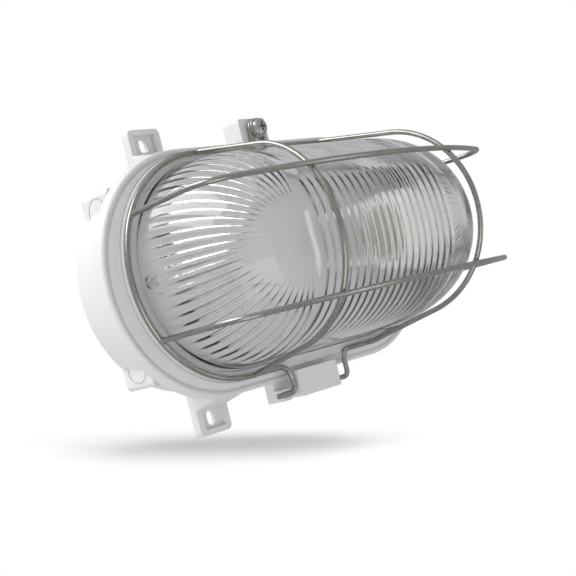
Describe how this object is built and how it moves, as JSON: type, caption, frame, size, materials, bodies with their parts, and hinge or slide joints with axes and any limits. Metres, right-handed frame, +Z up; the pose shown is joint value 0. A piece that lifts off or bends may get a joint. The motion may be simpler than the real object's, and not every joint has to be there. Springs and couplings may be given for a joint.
{
  "type": "bulkhead light",
  "caption": "Oval bulkhead wall light with a ribbed clear glass held by a hinged wire guard on a moulded base.",
  "frame": {"origin": "centre of the housing's flat back, on the wall face", "axes": "+X along the length, +Z up, the glass and guard face -Y, and the wall is on the +Y side"},
  "size_m": [0.203, 0.1092, 0.1404],
  "materials": {
    "housing": "satin moulded",
    "gasket": "matt",
    "glass": "clear, ribbed inside",
    "wire": "bright drawn wire",
    "screw_steel": "zinc plated",
    "brass": "plain",
    "reflector": "white paint",
    "bracket_steel": "zinc plated",
    "porcelain": "white glazed ceramic",
    "terminal": "plain",
    "lead_live": "insulated lead",
    "lead_neutral": "insulated lead",
    "grommet": "matt"
  },
  "bodies": {
    "base": {"base_housing": "housing", "glass_gasket": "gasket", "ribbed_glass": "glass", "tab_insert": "brass", "reflector_plate": "reflector", "reflector_screw_left": "screw_steel", "reflector_screw_right": "screw_steel", "lampholder_body": "porcelain", "lampholder_shell": "brass", "lampholder_contact": "brass", "holder_bracket": "bracket_steel", "holder_screw_upper": "screw_steel", "holder_screw_lower": "screw_steel", "terminal_block": "terminal", "terminal_screw_live": "brass", "terminal_screw_neutral": "brass", "lead_live": "lead_live", "lead_neutral": "lead_neutral", "cable_grommet": "grommet"},
    "guard": {"guard_ring": "wire", "guard_bar_upper": "wire", "guard_bar_lower": "wire", "guard_hoop_left": "wire", "guard_hoop_right": "wire"},
    "screw": {"clamp_screw": "screw_steel", "clamp_washer": "screw_steel"}
  },
  "joints": [
    {"name": "guard_swing", "type": "hinge", "parent": "base", "child": "guard", "pos_m": [0, -0.032, -0.061], "axis": [1, 0, 0], "range_deg": [0, 105]},
    {"name": "screw_out", "type": "slide", "parent": "base", "child": "screw", "axis": [0, -1, 0], "range_m": [0, 0.014]}
  ]
}
